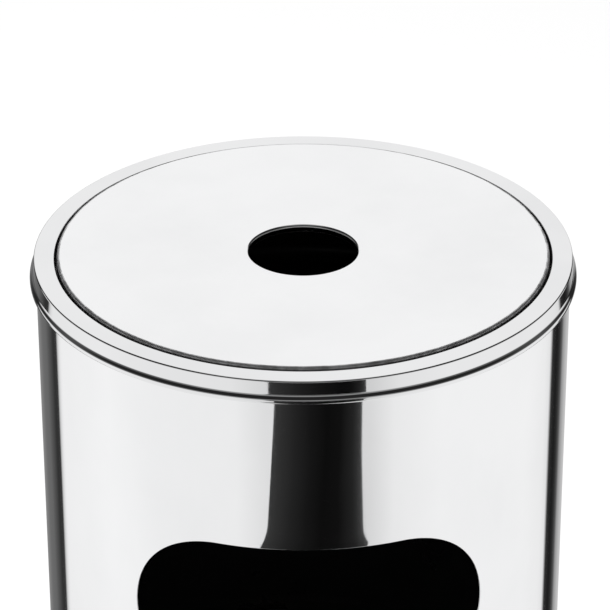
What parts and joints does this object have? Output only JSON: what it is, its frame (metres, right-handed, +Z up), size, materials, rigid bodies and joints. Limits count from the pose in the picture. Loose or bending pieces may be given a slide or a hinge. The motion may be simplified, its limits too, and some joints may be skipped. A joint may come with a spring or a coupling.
{
  "type": "standing ash and litter bin",
  "caption": "Tall round polished steel stand with a rim ring, a flat lid with a central drop hole, a wide side opening, a hung ash pan and a lift-out inner bucket with a wire handle.",
  "frame": {"origin": "middle of the face it stands on", "axes": "+Z up along the tube's centre line, the side opening faces -Y, +X to its right seen from the front"},
  "size_m": [0.2558, 0.2558, 0.62],
  "materials": {
    "polished_steel": "mirror-polished stainless sheet, black inside",
    "polished_steel_rim": "mirror-polished pressed ring",
    "polished_steel_lid": "fine satin-polished disc",
    "plain_steel": "plain sheet",
    "black_rubber": "soft matt",
    "black_lacquer": "satin black stoved lacquer",
    "plain_wire": "drawn wire",
    "zinc_plate": "bright zinc",
    "rivet_metal": "bright",
    "black_plastic": "fine-grained moulded plastic",
    "ballast_paint": "dark primer"
  },
  "bodies": {
    "stand": {"body_tube": "polished_steel", "rim_ring": "polished_steel_rim", "seat_ring": "plain_steel", "base_ring": "black_plastic", "base_plate": "plain_steel", "ballast_disc": "ballast_paint", "ballast_bolt": "zinc_plate", "ballast_washer": "zinc_plate", "ballast_nut": "zinc_plate"},
    "bucket": {"bucket_wall": "black_lacquer", "bucket_floor": "black_lacquer", "bucket_rim_wire": "plain_wire", "bail_ear_left": "zinc_plate", "bail_ear_right": "zinc_plate", "ear_rivets": "rivet_metal"},
    "handle": {"bucket_bail": "plain_wire", "bail_grip": "black_plastic"},
    "pan": {"ash_pan": "black_lacquer"},
    "lid": {"lid_disc": "polished_steel_lid", "lid_pads": "black_rubber"}
  },
  "joints": [
    {"name": "bucket_lift", "type": "slide", "parent": "stand", "child": "bucket", "axis": [0, 0, 1], "range_m": [0, 0.6]},
    {"name": "handle_swing", "type": "hinge", "parent": "bucket", "child": "handle", "pos_m": [0, 0, 0.4375], "axis": [1, 0, 0], "range_deg": [0, 193]},
    {"name": "pan_lift", "type": "slide", "parent": "bucket", "child": "pan", "axis": [0, 0, 1], "range_m": [0, 0.08]},
    {"name": "lid_lift", "type": "slide", "parent": "pan", "child": "lid", "axis": [0, 0, 1], "range_m": [0, 0.08]}
  ]
}
